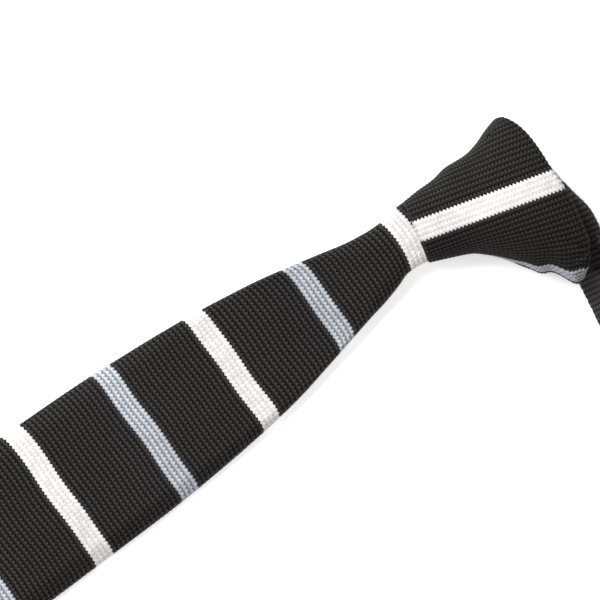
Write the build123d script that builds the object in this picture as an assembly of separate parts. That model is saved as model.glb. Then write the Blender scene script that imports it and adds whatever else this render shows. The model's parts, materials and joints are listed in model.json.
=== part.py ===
from build123d import *
import os
from math import exp, pi

# A striped knitted necktie, already tied in a small knot and laid face up on a flat surface.
# Working frame: the place where the front blade leaves the knot is x = 0, y = 0, the blade runs
# towards -X, the knot lies towards +X, and the surface underneath is z = 0. At the end every
# node is moved so that the origin is under the middle of the whole object's box.

# ---- driving dimensions, in millimetres ----
GAP = 0.3                      # clearance between pieces that move against each other
CLOTH = 2.6                    # a folded, lined stretch of knitted cloth
WALL = 0.8                     # one layer of knitted cloth
EDGE = 1.2                     # cloth folded round an edge

BLADE_LENGTH = 440.0           # front blade, from the knot to its square end
BLADE_WIDTH = 55.0
TAIL_LENGTH = 300.0            # narrow end, from the knot to its square end
TAIL_WIDTH = 40.0
EXIT_BLADE_WIDTH = 18.4        # front blade where the knot squeezes it
EXIT_TAIL_WIDTH = 13.0
EXIT_REACH = 8.0               # length of the squeezed stretch
FLARE_LENGTH = 56.0            # how quickly the blade opens out to its full width
FLARE_POWER = 1.35
FLARE_STOP = 170.0             # the edges are drawn straight from here on

LIFT_LINE = 5.85               # distance from the knot at which the blade bends up
THROAT_END = 100.0             # the tail slides as one piece beyond this distance
FOLD_LINE = 245.0              # distance at which the blade's end folds over
BLADE_UNDERSIDE = 3.7          # height of the blade where the tail lies under it
TAIL_UNDERSIDE = 0.9
TAIL_CLOTH = 2.5
EXIT_RISE = 2.0                # extra height of both blades where they leave the knot
EXIT_SLOPE_END = 36.0
BUNDLE_TOP = 13.0              # top of the squeezed blade at the knot
BUNDLE_END = 70.0
DROP_START = 334.0             # the blade comes down to the surface past the tail
DROP_END = 356.0
END_UNDERSIDE = 0.3

KNOT_TURN = -13.0              # the knot's own axis, in degrees from +X
KNOT_STATIONS = (              # along, side towards +Y, side towards -Y, top, corner radius
    (-0.8, 10.9, -11.1, 16.8, 5.0),
    (12.0, 13.6, -12.8, 20.0, 7.0),
    (25.0, 17.5, -19.6, 23.4, 8.5),
    (38.0, 23.6, -31.0, 26.4, 10.0),
    (57.0, 33.0, -41.0, 28.8, 11.0),
)
MOUTH_LEFT = (41.0, 25.0)      # the knot's mouth, seen from above
MOUTH_RIGHT = (53.0, -22.0)
MOUTH_CORNER = (42.5, -37.5)
BAND_SPLIT = 4.0               # height where the front band turns into the back band
CROSS_GAP = 1.0                # room between the first wrap and the outer one
CROSS_DROP = 4.5               # extra room above the first wrap, for the over pass
CROSS_SPAN = (14.0, 44.0)      # stretch of the knot that the first wrap covers
PASS_THICK = 3.0
PASS_HALF_WIDTH = 6.0
PASS_RISE = (4.0, 49.0)        # the over pass runs up through the knot between these
PASS_TOPS = (14.0, 24.4)       # its height at both ends of that run
PASS_BEND = 6.0                # its underside starts to climb here
HUMP_REACH = 57.0              # how far the over pass stands out past the mouth
HUMP_MIDDLE, HUMP_WIDTH = -10.0, 24.0
HUMP_ROUND = 8.0
TAIL_PASS_WIDTH = 10.0
TAIL_PASS_RISE = 3.3
TAIL_PASS_CLIMB = (1.0, 11.0)  # the tail's pass climbs between these
TAIL_PASS_STOP = 40.0
INSIDE_EXIT = -12.0            # passes are drawn on to here, then cut off at the exit

NECK_HEIGHT = 28.0             # folded width of the neck band, which stands on its edge
NECK_THICK = 2.8
NECK_WALL = 0.9
NECK_RADIUS = 55.0
NECK_SWEEP = 270.0
NECK_END_ANGLE = 2.0           # closed cloth at both ends of the neck band's stay
JOIN_ANGLE = 315.0             # seam at the back of the loop
RIGHT_LEG = 47.5               # along the knot's axis, where the right leg leaves the knot
LEFT_LEG = 52.5
LEFT_LEG_SIDE = -38.0          # sideways, where the left leg runs on to the neck band
LEFT_BEND = 12.0
LEFT_LEG_START = -2.0          # sideways, where each leg starts inside the knot
RIGHT_LEG_START = -12.0
RIGHT_LEG_FREE = -39.0         # sideways, where the right leg opens to its full height
LEG_LOW, LEG_HIGH = 5.7, 21.5  # squeezed height of both legs inside the knot

SLIT = 2.0                     # open seam on the back, closed by slip stitches
STITCH_PITCH = 12.0
THREAD = 0.5
STITCH_PROUD = 0.25
STITCH_LENGTH = 2.4
SLIP_STITCH = 1.0
HEM_PITCH = 4.0
BAR_TACK = (1.4, 8.0)
SEAM_MARGIN = 3.0              # closed cloth between a seam and the end of its stretch
SEAM_START = 40.0              # the front blade's seam starts past the gathered exit
SEAM_REST = 12.0               # a seam stops this far before the hem
HEM_DEPTH = 10.0
TAIL_WALL = 0.75
KEEPER_AT = 215.0
KEEPER_WIDTH = 12.0
KEEPER_SPAN = 46.0
KEEPER_THICK = 0.6
KEEPER_SIDE = 1.5
KEEPER_STITCH = 1.6
KEEPER_PITCH = 2.7
LABEL = (30.0, 18.0, 0.2)
LABEL_AT = 135.0
LABEL_STITCH_PROUD = 0.15
LABEL_STITCHES = (-6.0, -2.0, 2.0, 6.0)

NECK_CENTRE = (RIGHT_LEG + NECK_RADIUS, LEFT_LEG_SIDE - NECK_RADIUS)
NECK_INNER = NECK_RADIUS - NECK_THICK / 2
NECK_OUTER = NECK_RADIUS + NECK_THICK / 2
NECK_MIDDLE = NECK_HEIGHT / 2
KNOT_FRAME = Location((0, 0, 0), (0, 0, KNOT_TURN))
TALL = 200.0                   # taller or wider than anything it cuts


# ---- small helpers ----
def half_width(distance, full, squeezed):
    """Half the width of a blade at a distance from the knot."""
    opened = max(distance - EXIT_REACH, 0) / FLARE_LENGTH
    return (full - (full - squeezed) * exp(-opened ** FLARE_POWER)) / 2


def plan(full, squeezed, start, stop, inset=0.0):
    """Outline of a blade from above between two distances from the knot, drawn in inwards."""
    first, last = start + inset, stop - inset
    flare_end = min(max(first + 1, FLARE_STOP), last)
    steps, crowding = 7, 1.6       # points lie closer together where the edge curves most
    flare = [first + (flare_end - first) * (i / steps) ** crowding for i in range(steps + 1)]
    left = [(-s, half_width(s, full, squeezed) - inset) for s in flare]
    right = [(x, -y) for x, y in left]
    far_left = (-last, half_width(last, full, squeezed) - inset)
    far_right = (far_left[0], -far_left[1])
    edges = [Spline(left), Spline(right), Line(left[0], right[0])]
    if flare_end < last:
        edges += [Line(left[-1], far_left), Line(right[-1], far_right)]
    edges += [Line(far_left, far_right)]
    return make_face(edges)


def straight_plan(width, start, stop, inset=0.0):
    """Outline from above of a stretch that has one width."""
    middle = Location((-(start + stop) / 2, 0))
    return middle * Rectangle(stop - start - 2 * inset, width - 2 * inset)


def ribbon(under, over):
    """A wide strip, seen from the side, between an underside and a topside."""
    side = Plane.XZ * make_face(Polyline(*under, *reversed(over), close=True))
    return extrude(side, amount=TALL, both=True)


def raised(line, amount):
    """The same side view line, higher up."""
    return [(x, z + amount) for x, z in line]


def plate(outline, under, over):
    """A strip of cloth from its outline from above and its two side view lines."""
    return extrude(outline, amount=TALL) & ribbon(under, over)


def slit_cut(under, start, stop):
    """The open seam along the middle of a strip's underside."""
    lane = straight_plan(SLIT, start, stop)
    return plate(lane, raised(under, -WALL), raised(under, WALL))


def slip_stitches(height, start, stop):
    """Threads across the open seam, in the thickness of its layer."""
    count = int((stop - start) / STITCH_PITCH)
    stitch = Box(SLIP_STITCH, SLIT, THREAD)
    return [
        Location((-(start + (i + 0.5) * STITCH_PITCH), 0, height + WALL / 2)) * stitch
        for i in range(count)
    ]


def hem_stitches(width, distance, height):
    """A row of threads across the back of a square end."""
    count = int((width - 2 * SEAM_MARGIN) / HEM_PITCH)
    thread = Box(THREAD, STITCH_LENGTH, STITCH_PROUD)
    return [
        Location((-distance, (i - (count - 1) / 2) * HEM_PITCH, height - STITCH_PROUD / 2)) * thread
        for i in range(count)
    ]


def bar_tack(distance, height):
    """A short dense bar of thread that ends the open seam."""
    return Location((-distance, 0, height - STITCH_PROUD / 2)) * Box(*BAR_TACK, STITCH_PROUD)


def many(solids):
    """Separate solids of one kind, kept together in one node."""
    return Compound(children=solids)


def in_knot(shape):
    """Turns a shape drawn along the knot's own axis into the working frame."""
    return KNOT_FRAME * shape


# ---- knot ----
def knot_body(inset, stations=KNOT_STATIONS, top_drop=0.0):
    """Solid knot shape along its own axis, drawn in by an inset on every side."""
    sections = []
    for along, left, right, top, corner in stations:
        height = top - 2 * inset - top_drop
        width = left - right - 2 * inset
        radius = min(corner, 0.48 * height) - inset * 0.3
        middle = (along, (left + right) / 2, inset + height / 2)
        across = Plane(origin=middle, x_dir=(0, 1, 0), z_dir=(1, 0, 0))
        sections.append(across * RectangleRounded(width, height, max(radius, 1.0)))
    return loft(sections)


def beyond(first, second):
    """Everything past a line drawn from above, on the side away from the knot's middle."""
    (a0, b0), (a1, b1) = first, second
    length = ((a1 - a0) ** 2 + (b1 - b0) ** 2) ** 0.5
    away = ((b0 - b1) / length, (a1 - a0) / length)
    far = [(a + away[0] * TALL, b + away[1] * TALL) for a, b in (second, first)]
    run = ((a1 - a0) * 3, (b1 - b0) * 3)
    start, end = (a0 - run[0], b0 - run[1]), (a1 + run[0], b1 + run[1])
    corners = [start, end, (far[0][0] + run[0], far[0][1] + run[1]),
               (far[1][0] - run[0], far[1][1] - run[1])]
    return extrude(make_face(Polyline(*corners, close=True)), amount=TALL, both=True)


def knot_shell():
    """The outer wrap of the knot, open at the mouth and at the exit."""
    shell = knot_body(0) - knot_body(CLOTH)
    shell -= beyond(MOUTH_LEFT, MOUTH_RIGHT)
    return shell - beyond(MOUTH_RIGHT, MOUTH_CORNER)


def front_band(shell):
    """The last wrap across the front, which turns under at both sides."""
    lower = Location((0, 0, BAND_SPLIT - TALL)) * Box(TALL * 2, TALL * 2, TALL * 2)
    return in_knot(shell - lower)


def back_band(shell):
    """The stretch of the wrap behind the knot."""
    lower = Location((0, 0, BAND_SPLIT - TALL)) * Box(TALL * 2, TALL * 2, TALL * 2)
    return in_knot(shell & lower)


def pass_top(along):
    """Underside of the front band, where the over pass runs down through the knot."""
    share = (along - PASS_RISE[0]) / (PASS_RISE[1] - PASS_RISE[0])
    return PASS_TOPS[0] + share * (PASS_TOPS[1] - PASS_TOPS[0])


def past_exit():
    """Everything on the blade's side of the lift line."""
    return Location((-LIFT_LINE + GAP / 2 - TALL, 0, 0)) * Box(2 * TALL, 2 * TALL, 2 * TALL)


def over_pass_run():
    """The over pass inside the knot, from the mouth down to the exit."""
    mouth, high = PASS_RISE[1], PASS_TOPS[1]
    exit_low = BLADE_UNDERSIDE + EXIT_RISE
    outline = [
        (INSIDE_EXIT, exit_low), (0.5, exit_low), (PASS_BEND, pass_top(PASS_BEND) - PASS_THICK),
        (mouth, high - PASS_THICK), (mouth, high), (PASS_RISE[0], PASS_TOPS[0]),
        (-2.0, BUNDLE_TOP), (INSIDE_EXIT, BUNDLE_TOP),
    ]
    side = Plane.XZ * make_face(Polyline(*outline, close=True))
    return extrude(side, amount=PASS_HALF_WIDTH, both=True)


def over_pass_hump():
    """The hollow fold of the over pass outside the mouth."""
    mouth, low, high = PASS_RISE[1], CLOTH + GAP, PASS_TOPS[1]
    length = HUMP_REACH - mouth + HUMP_ROUND
    middle = (mouth + HUMP_REACH) / 2
    hump = Location((middle, HUMP_MIDDLE, (low + high) / 2)) * Box(length, HUMP_WIDTH, high - low)
    rounded = [edge for edge in hump.edges().filter_by(Axis.Y) if edge.center().X > mouth]
    hump = fillet(rounded, HUMP_ROUND)
    hollow = Box(length, HUMP_WIDTH + 2, high - low - 2 * CLOTH)
    hump -= Location((middle - CLOTH, HUMP_MIDDLE, (low + high) / 2)) * hollow
    return hump & beyond(MOUTH_LEFT, MOUTH_RIGHT)


def over_pass():
    """The blade coming over the mouth and down through the knot to the exit."""
    bridge = Location((PASS_RISE[1] - 1.0, 0.0, PASS_TOPS[1] - CLOTH / 2)) * Box(8.0, 8.0, CLOTH)
    return in_knot(over_pass_run() + bridge + over_pass_hump()) - past_exit()


def first_cross():
    """The first wrap, inside the knot, that the later ones lie over."""
    inset = CLOTH + CROSS_GAP
    wide_part = KNOT_STATIONS[1:]
    outer = knot_body(inset, wide_part, CROSS_DROP)
    inner = knot_body(inset + CLOTH - 0.2, wide_part, CROSS_DROP)
    start, stop = CROSS_SPAN
    middle = Location(((start + stop) / 2, 0, 0)) * Box(stop - start, TALL, TALL)
    return in_knot((outer - inner) & middle)


def tail_pass():
    """The tail's stretch inside the knot."""
    low = CLOTH + GAP
    high = low + TAIL_PASS_RISE
    start, stop = TAIL_PASS_CLIMB
    under = [(INSIDE_EXIT, low), (start, low), (stop, high), (TAIL_PASS_STOP, high)]
    length = TAIL_PASS_STOP - INSIDE_EXIT
    lane = Location((INSIDE_EXIT + length / 2, 0, 0)) * Box(length, TAIL_PASS_WIDTH, TALL)
    return in_knot(ribbon(under, raised(under, TAIL_CLOTH)) & lane) - past_exit()


# ---- neck loop ----
def upright(outline, low, high):
    """Band standing on its edge, from its outline from above."""
    return Location((0, 0, low)) * extrude(outline, amount=high - low)


def leg_stretch(start, end):
    """Outline from above of a straight stretch of the band between two points."""
    length = ((end[0] - start[0]) ** 2 + (end[1] - start[1]) ** 2) ** 0.5
    wide = NECK_THICK if start[0] == end[0] else length
    deep = length if start[0] == end[0] else NECK_THICK
    return Location(((start[0] + end[0]) / 2, (start[1] + end[1]) / 2)) * Rectangle(wide, deep)


def neck_leg_right():
    """The leg that leaves the knot straight towards its right side."""
    squeezed = leg_stretch((RIGHT_LEG, RIGHT_LEG_START), (RIGHT_LEG, RIGHT_LEG_FREE))
    free = leg_stretch((RIGHT_LEG, RIGHT_LEG_FREE), (RIGHT_LEG, NECK_CENTRE[1] + GAP))
    return in_knot(upright(squeezed, LEG_LOW, LEG_HIGH) + upright(free, 0, NECK_HEIGHT))


def neck_leg_left():
    """The leg that comes out from under the over pass and turns on to the neck band."""
    turn = LEFT_LEG_SIDE + LEFT_BEND
    squeezed = leg_stretch((LEFT_LEG, LEFT_LEG_START), (LEFT_LEG, turn))
    ring = Circle(LEFT_BEND + NECK_THICK / 2) - Circle(LEFT_BEND - NECK_THICK / 2)
    side = LEFT_BEND + NECK_THICK
    corner = Location((-side / 2, -side / 2)) * Rectangle(side, side)
    bend = Location((LEFT_LEG + LEFT_BEND, turn)) * (ring & corner)
    run = leg_stretch((LEFT_LEG + LEFT_BEND, LEFT_LEG_SIDE),
                      (NECK_CENTRE[0] - GAP, LEFT_LEG_SIDE))
    free = upright(bend, 0, NECK_HEIGHT) + upright(run, 0, NECK_HEIGHT)
    return in_knot(upright(squeezed, LEG_LOW, LEG_HIGH) + free)


def neck_arc(inner, outer, low, high, trim=0.0):
    """A stretch of ring round the neck loop's axis, with both ends drawn in by an angle."""
    section = Location(((inner + outer) / 2, (low + high) / 2)) * Rectangle(outer - inner, high - low)
    ring = revolve(Plane.XZ * section, Axis.Z, NECK_SWEEP - 2 * trim)
    placed = Location((*NECK_CENTRE, 0), (0, 0, 180 + trim))
    return in_knot(placed * ring)


def neck_band_stay():
    """The stay that keeps the neck band from stretching."""
    return neck_arc(NECK_INNER + NECK_WALL, NECK_OUTER - NECK_WALL,
                    EDGE, NECK_HEIGHT - EDGE, NECK_END_ANGLE)


def neck_band_cover():
    """Knitted cover of the neck band, folded round the stay."""
    cover = neck_arc(NECK_INNER, NECK_OUTER, 0, NECK_HEIGHT) - neck_band_stay()
    return cover - neck_arc(NECK_INNER - 1, NECK_INNER + NECK_WALL,
                            NECK_MIDDLE - SLIT / 2, NECK_MIDDLE + SLIT / 2, NECK_END_ANGLE)


def on_neck_band(shape, angle, radius, height):
    """Places a shape on the neck band at an angle round its axis, facing outwards."""
    centre = Location((*NECK_CENTRE, height), (0, 0, angle))
    return in_knot(centre * Location((radius, 0, 0)) * shape)


def neck_slip_stitches():
    """Threads across the neck band's open seam, on its inner side."""
    step = STITCH_PITCH / NECK_RADIUS * 180 / pi
    count = int((NECK_SWEEP - 4 * NECK_END_ANGLE) / step)
    first = 180 + (NECK_SWEEP - (count - 1) * step) / 2
    stitch = Box(THREAD, SLIP_STITCH, SLIT)
    radius = NECK_INNER + NECK_WALL / 2
    return many([on_neck_band(stitch, first + i * step, radius, NECK_MIDDLE) for i in range(count)])


def neck_join_stitches():
    """The seam across the neck band, at the back of the loop, where its two lengths meet."""
    heights = [z for z in range(3, 26, 2) if abs(z - NECK_MIDDLE) > SLIT]
    thread = Box(STITCH_PROUD, STITCH_LENGTH, THREAD)
    radius = NECK_INNER - STITCH_PROUD / 2
    return many([on_neck_band(thread, JOIN_ANGLE, radius, z) for z in heights])


# ---- front blade, near stretch ----
NEAR_START, NEAR_STOP = LIFT_LINE + GAP / 2, FOLD_LINE
NEAR_UNDER = [
    (-NEAR_START, BLADE_UNDERSIDE + EXIT_RISE), (-EXIT_SLOPE_END, BLADE_UNDERSIDE),
    (-NEAR_STOP, BLADE_UNDERSIDE),
]
NEAR_OVER = [
    (-NEAR_START, BUNDLE_TOP), (-30.0, 9.0), (-BUNDLE_END, BLADE_UNDERSIDE + CLOTH),
    (-NEAR_STOP, BLADE_UNDERSIDE + CLOTH),
]


def front_blade_lining():
    """Interlining that fills the near stretch of the front blade."""
    outline = plan(BLADE_WIDTH, EXIT_BLADE_WIDTH, NEAR_START, NEAR_STOP, EDGE)
    return plate(outline, raised(NEAR_UNDER, WALL), raised(NEAR_OVER, -WALL))


def front_blade_cover():
    """Knitted cover of the front blade, folded round its lining, with its seam on the back."""
    outline = plan(BLADE_WIDTH, EXIT_BLADE_WIDTH, NEAR_START, NEAR_STOP)
    cover = plate(outline, NEAR_UNDER, NEAR_OVER) - front_blade_lining()
    return cover - slit_cut(NEAR_UNDER, SEAM_START, NEAR_STOP - SEAM_MARGIN)


def front_blade_slip_stitches():
    """Threads that close the near stretch's seam."""
    return many(slip_stitches(BLADE_UNDERSIDE, SEAM_START, NEAR_STOP - SEAM_MARGIN))


def keeper_loop():
    """Cloth loop on the blade's back that holds the tail."""
    strap = Box(KEEPER_WIDTH, KEEPER_SPAN, BLADE_UNDERSIDE, align=(Align.MAX, Align.CENTER, Align.MIN))
    inside = Box(KEEPER_WIDTH, KEEPER_SPAN - 2 * KEEPER_SIDE, BLADE_UNDERSIDE,
                 align=(Align.MAX, Align.CENTER, Align.MIN))
    return Location((-KEEPER_AT, 0, 0)) * (strap - Location((0, 0, KEEPER_THICK)) * inside)


def keeper_stitches():
    """Threads that fasten both ends of the keeper loop to the blade's back."""
    thread = Box(KEEPER_STITCH, THREAD, THREAD)
    side = KEEPER_SPAN / 2 + THREAD / 2
    middle = -KEEPER_AT - KEEPER_WIDTH / 2
    return many([
        Location((middle + step * KEEPER_PITCH, edge * side, BLADE_UNDERSIDE - THREAD / 2)) * thread
        for edge in (-1, 1) for step in (-1.5, -0.5, 0.5, 1.5)
    ])


def tail_throat():
    """The gathered stretch of the tail between the knot and the part that slides as one piece."""
    outline = plan(TAIL_WIDTH, EXIT_TAIL_WIDTH, NEAR_START, THROAT_END)
    under = [
        (-NEAR_START, TAIL_UNDERSIDE + EXIT_RISE), (-EXIT_SLOPE_END, TAIL_UNDERSIDE),
        (-THROAT_END, TAIL_UNDERSIDE),
    ]
    return plate(outline, under, raised(under, TAIL_CLOTH))


# ---- front blade, far end ----
END_START, END_STOP = FOLD_LINE + GAP, BLADE_LENGTH
END_UNDER = [
    (-END_START, BLADE_UNDERSIDE), (-DROP_START, BLADE_UNDERSIDE),
    (-DROP_END, END_UNDERSIDE), (-END_STOP, END_UNDERSIDE),
]
END_SEAM = END_STOP - HEM_DEPTH - SEAM_REST


def blade_end_space(start, stop):
    """A stretch of the hollow inside the blade's far end."""
    outline = straight_plan(BLADE_WIDTH - 2 * EDGE, start, stop)
    return plate(outline, raised(END_UNDER, WALL), raised(END_UNDER, CLOTH - WALL))


def blade_end_lining():
    """Interlining of the blade's far end."""
    return blade_end_space(END_START + EDGE, END_STOP - EDGE - HEM_DEPTH)


def blade_end_hem():
    """Cloth turned in at the blade's square end."""
    return blade_end_space(END_STOP - EDGE - HEM_DEPTH, END_STOP - EDGE)


def blade_end_cover():
    """Knitted cover of the blade's far end."""
    outline = straight_plan(BLADE_WIDTH, END_START, END_STOP)
    cover = plate(outline, END_UNDER, raised(END_UNDER, CLOTH))
    cover -= blade_end_space(END_START + EDGE, END_STOP - EDGE)
    return cover - slit_cut(END_UNDER, END_START + SEAM_MARGIN, END_SEAM)


def blade_end_slip_stitches():
    """Threads that close the far end's seam, on the stretch over the tail and on the flat end."""
    over_tail = slip_stitches(BLADE_UNDERSIDE, END_START + SEAM_MARGIN, DROP_START)
    on_surface = slip_stitches(END_UNDERSIDE, DROP_END, END_SEAM)
    return many(over_tail + on_surface)


def blade_end_hem_stitches():
    """Threads that hold the blade's hem."""
    return many(hem_stitches(BLADE_WIDTH, END_STOP - HEM_DEPTH, END_UNDERSIDE))


def blade_end_bar_tack():
    """Bar of thread at the end of the blade's seam."""
    return bar_tack(END_SEAM + SEAM_MARGIN, END_UNDERSIDE)


# ---- tail ----
TAIL_START, TAIL_STOP = THROAT_END + GAP, TAIL_LENGTH
TAIL_UNDER = [(-TAIL_START, TAIL_UNDERSIDE), (-TAIL_STOP, TAIL_UNDERSIDE)]
TAIL_SEAM = TAIL_STOP - HEM_DEPTH - SEAM_REST


def tail_hollow(inset=EDGE):
    """The hollow inside the sliding stretch of the tail."""
    outline = plan(TAIL_WIDTH, EXIT_TAIL_WIDTH, TAIL_START, TAIL_STOP, inset)
    return plate(outline, raised(TAIL_UNDER, TAIL_WALL), raised(TAIL_UNDER, TAIL_CLOTH - TAIL_WALL))


def past_hem_line():
    """Everything from the tail's hem to its square end."""
    length = HEM_DEPTH + EDGE
    return Location((-TAIL_STOP + length / 2, 0, 0)) * Box(length, TALL, TALL)


def tail_lining():
    """Interlining of the tail."""
    return tail_hollow() - past_hem_line()


def tail_hem():
    """Cloth turned in at the tail's square end."""
    return tail_hollow() & past_hem_line()


def tail_cover():
    """Knitted cover of the tail."""
    outline = plan(TAIL_WIDTH, EXIT_TAIL_WIDTH, TAIL_START, TAIL_STOP)
    cover = plate(outline, TAIL_UNDER, raised(TAIL_UNDER, TAIL_CLOTH)) - tail_hollow()
    return cover - slit_cut(TAIL_UNDER, TAIL_START + SEAM_MARGIN, TAIL_SEAM)


def tail_slip_stitches():
    """Threads that close the tail's seam."""
    return many(slip_stitches(TAIL_UNDERSIDE, TAIL_START + SEAM_MARGIN, TAIL_SEAM))


def tail_hem_stitches():
    """Threads that hold the tail's hem."""
    return many(hem_stitches(TAIL_WIDTH, TAIL_STOP - HEM_DEPTH, TAIL_UNDERSIDE))


def tail_bar_tack():
    """Bar of thread at the end of the tail's seam."""
    return bar_tack(TAIL_SEAM + SEAM_MARGIN, TAIL_UNDERSIDE)


def care_label():
    """Small blank label on the tail's back."""
    return Location((-LABEL_AT, 0, TAIL_UNDERSIDE - LABEL[2] / 2)) * Box(*LABEL)


def care_label_stitches():
    """Threads at the label's two short ends."""
    thread = Box(THREAD, STITCH_LENGTH, LABEL_STITCH_PROUD)
    height = TAIL_UNDERSIDE - LABEL[2] - LABEL_STITCH_PROUD / 2
    end_row = LABEL[0] / 2 - SEAM_MARGIN / 2
    return many([
        Location((-LABEL_AT + end * end_row, side, height)) * thread
        for end in (-1, 1) for side in LABEL_STITCHES
    ])


# ---- all nodes ----
SHELL = knot_shell()
NODES = {
    "knot_front_band": front_band(SHELL),
    "knot_back_band": back_band(SHELL),
    "knot_first_cross": first_cross(),
    "knot_over_pass": over_pass(),
    "tail_pass": tail_pass(),
    "neck_leg_right": neck_leg_right(),
    "neck_leg_left": neck_leg_left(),
    "front_blade_cover": front_blade_cover(),
    "front_blade_lining": front_blade_lining(),
    "front_blade_slip_stitches": front_blade_slip_stitches(),
    "keeper_loop": keeper_loop(),
    "keeper_stitches": keeper_stitches(),
    "tail_throat": tail_throat(),
    "tail_cover": tail_cover(),
    "tail_lining": tail_lining(),
    "tail_slip_stitches": tail_slip_stitches(),
    "tail_hem": tail_hem(),
    "tail_hem_stitches": tail_hem_stitches(),
    "tail_bar_tack": tail_bar_tack(),
    "care_label": care_label(),
    "care_label_stitches": care_label_stitches(),
    "blade_end_cover": blade_end_cover(),
    "blade_end_lining": blade_end_lining(),
    "blade_end_slip_stitches": blade_end_slip_stitches(),
    "blade_end_hem": blade_end_hem(),
    "blade_end_hem_stitches": blade_end_hem_stitches(),
    "blade_end_bar_tack": blade_end_bar_tack(),
    "neck_band_cover": neck_band_cover(),
    "neck_band_stay": neck_band_stay(),
    "neck_slip_stitches": neck_slip_stitches(),
    "neck_join_stitches": neck_join_stitches(),
}

BOX = Compound([shape.moved(Location()) for shape in NODES.values()]).bounding_box()
TO_ORIGIN = Location((-BOX.center().X, -BOX.center().Y, -BOX.min.Z))

os.makedirs("parts", exist_ok=True)
for name, shape in NODES.items():
    export_step(shape.moved(TO_ORIGIN), f"parts/{name}.step")
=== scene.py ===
import json
import math

import bpy
import numpy as np
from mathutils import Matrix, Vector


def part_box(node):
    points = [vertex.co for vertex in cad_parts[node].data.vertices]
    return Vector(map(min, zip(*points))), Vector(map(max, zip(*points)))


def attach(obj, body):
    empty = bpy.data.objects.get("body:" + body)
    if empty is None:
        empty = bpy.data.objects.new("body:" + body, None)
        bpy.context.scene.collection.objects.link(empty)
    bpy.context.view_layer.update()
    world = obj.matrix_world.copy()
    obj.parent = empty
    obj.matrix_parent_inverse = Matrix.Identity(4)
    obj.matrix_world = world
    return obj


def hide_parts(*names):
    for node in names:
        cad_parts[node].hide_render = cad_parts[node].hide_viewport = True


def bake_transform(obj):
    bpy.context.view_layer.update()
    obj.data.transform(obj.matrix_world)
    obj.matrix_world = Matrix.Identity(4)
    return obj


# A knitted necktie tied in a small knot. Every knitted stretch is a closed flat tube or a wrapped
# band whose mesh carries the stitches: u counts courses (rows) and v counts wales (columns), and
# the same two numbers are the UV map that one material reads its stripes from.

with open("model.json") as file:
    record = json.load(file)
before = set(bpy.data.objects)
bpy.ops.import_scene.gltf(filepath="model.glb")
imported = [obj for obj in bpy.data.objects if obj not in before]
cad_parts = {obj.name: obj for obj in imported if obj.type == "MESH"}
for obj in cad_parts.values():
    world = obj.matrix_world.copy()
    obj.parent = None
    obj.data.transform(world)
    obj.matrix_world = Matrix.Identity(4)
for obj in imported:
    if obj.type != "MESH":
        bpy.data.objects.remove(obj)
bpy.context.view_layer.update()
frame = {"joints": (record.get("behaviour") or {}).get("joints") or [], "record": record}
MM = 0.001
JOINTS = {j["name"]: j for j in frame["joints"]}
MOUNTS = {m["name"]: m for m in frame["record"]["mounts"]}

# ---- places read from the frame, in millimetres from the knot's exit ----
LIFT_LINE = 5.85                                   # from the knot's exit to the lift hinge
LIFT = JOINTS["blade_lift"]["pos_m"]
EXIT = np.array([LIFT[0] + LIFT_LINE * MM, LIFT[1], 0.0])


def from_exit(x):
    """Distance along the blade, from the knot's exit, of an x in the frame."""
    return (EXIT[0] - x) / MM


def span_of(node, axis):
    """Middle and half size of a node's box along an axis, in metres."""
    low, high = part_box(node)
    return (low[axis] + high[axis]) / 2, (high[axis] - low[axis]) / 2


FOLD = from_exit(JOINTS["blade_fold"]["pos_m"][0])
BLADE_STOP = from_exit(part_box("blade_end_cover")[0].x)
TAIL_STOP = from_exit(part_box("tail_cover")[0].x)
THROAT_STOP = from_exit(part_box("tail_cover")[1].x)
KEEPER_MIDDLE = from_exit(span_of("keeper_loop", 0)[0])
KEEPER_HALF = span_of("keeper_loop", 0)[1] / MM
LABEL_MIDDLE = from_exit(span_of("care_label", 0)[0])
BLADE_HALF = span_of("blade_end_cover", 1)[1] / MM
TAIL_HALF = span_of("tail_cover", 1)[1] / MM
NECK_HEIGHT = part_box("neck_band_cover")[1].z / MM
NECK_RADIUS = MOUNTS["neck_loop"]["dims"]["r_mm"] + 1.4
CINCH = JOINTS["neck_cinch"]["axis"]
KNOT_TURN = math.atan2(CINCH[1], CINCH[0]) - math.radians(135)

# ---- knit gauge ----
COURSE = 1.804                 # height of one stitch, along the tie
WALE = 1.448                   # width of one stitch, across the tie
PERIOD = 40                    # courses in one repeat: 4 white, 16 black, 4 blue, 16 black
RELIEF = 0.5                   # height of a stitch above its groove
ZIGZAG = 0.30                  # how far a course zigzags, in courses
KNOT_ZIGZAG = 0.44             # the same where the cloth is pulled round the knot
ROWS_PER_COURSE = 4

SEAM_DEPTH = 0.5               # the seam's valley along the middle of every tube's back
SEAM_HALF = 0.8


# ---- small helpers ----
def smooth(x):
    """Smooth step from 0 to 1."""
    x = np.clip(x, 0, 1)
    return x * x * (3 - 2 * x)


def curve_through(points):
    """A smooth function through (x, y) points, level outside them (monotone cubic)."""
    xs = np.array([p[0] for p in points], float)
    ys = np.array([p[1] for p in points], float)
    slopes = np.diff(ys) / np.diff(xs)
    tangents = np.zeros(len(xs))
    for i in range(1, len(xs) - 1):
        a, b = slopes[i - 1], slopes[i]
        if a * b > 0:
            tangents[i] = 2 * a * b / (a + b)
    tangents[0], tangents[-1] = slopes[0], slopes[-1]

    def at(x):
        x = np.asarray(x, float)
        held = np.clip(x, xs[0], xs[-1])
        i = np.clip(np.searchsorted(xs, held, side="right") - 1, 0, len(xs) - 2)
        h = xs[i + 1] - xs[i]
        t = (held - xs[i]) / h
        return ((2 * t**3 - 3 * t**2 + 1) * ys[i] + (t**3 - 2 * t**2 + t) * h * tangents[i]
                + (-2 * t**3 + 3 * t**2) * ys[i + 1] + (t**3 - t**2) * h * tangents[i + 1])

    return at


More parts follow.
